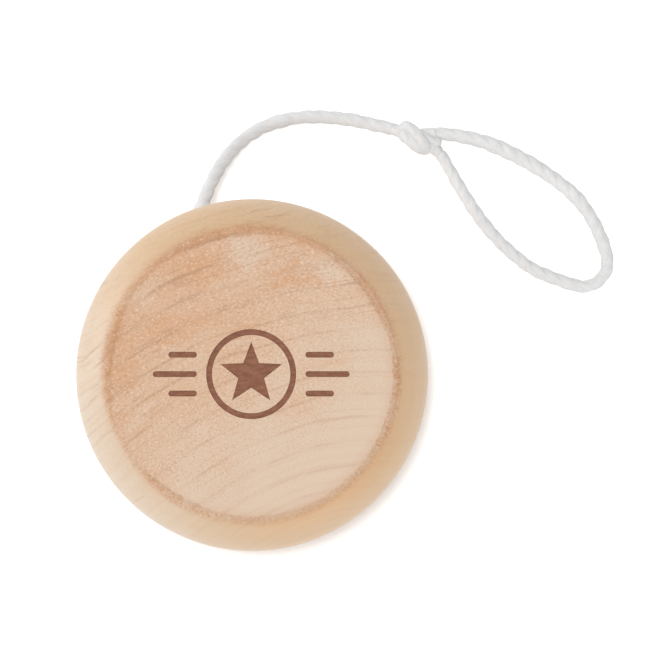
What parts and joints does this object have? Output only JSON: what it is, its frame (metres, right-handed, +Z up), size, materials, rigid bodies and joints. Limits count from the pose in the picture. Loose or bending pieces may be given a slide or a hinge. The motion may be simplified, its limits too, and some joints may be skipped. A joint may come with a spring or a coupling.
{
  "type": "yo-yo",
  "caption": "Turned wooden yo-yo: two flat-faced round halves on a hidden dowel, with a wound cotton string that ends in a slip knot and a finger loop.",
  "frame": {"origin": "centre of the rear half's flat face, which the yo-yo rests on", "axes": "+Z up along the axle, from the rear face to the front face; the string leaves the gap towards +Y and its finger loop lies towards +X"},
  "size_m": [0.0855, 0.0707, 0.03],
  "materials": {
    "turned_wood": "bare sanded hardwood, burnished at the rim",
    "dowel_wood": "plain dowel",
    "cotton_string": "twisted white cotton"
  },
  "bodies": {
    "yoyo": {"front_half": "turned_wood", "rear_half": "turned_wood", "axle_dowel": "dowel_wood"},
    "winding": {"axle_loop": "cotton_string", "string_winding": "cotton_string"},
    "lead": {"string_lead": "cotton_string", "finger_loop_knot": "cotton_string", "finger_loop": "cotton_string"}
  },
  "joints": [
    {"name": "axle_slip", "type": "hinge", "parent": "yoyo", "child": "winding", "pos_m": [0, 0, 0.015], "axis": [0, 0, 1], "continuous": true},
    {"name": "unwind", "type": "hinge", "parent": "winding", "child": "lead", "pos_m": [0, 0, 0.015], "axis": [0, 0, 1], "continuous": true}
  ]
}
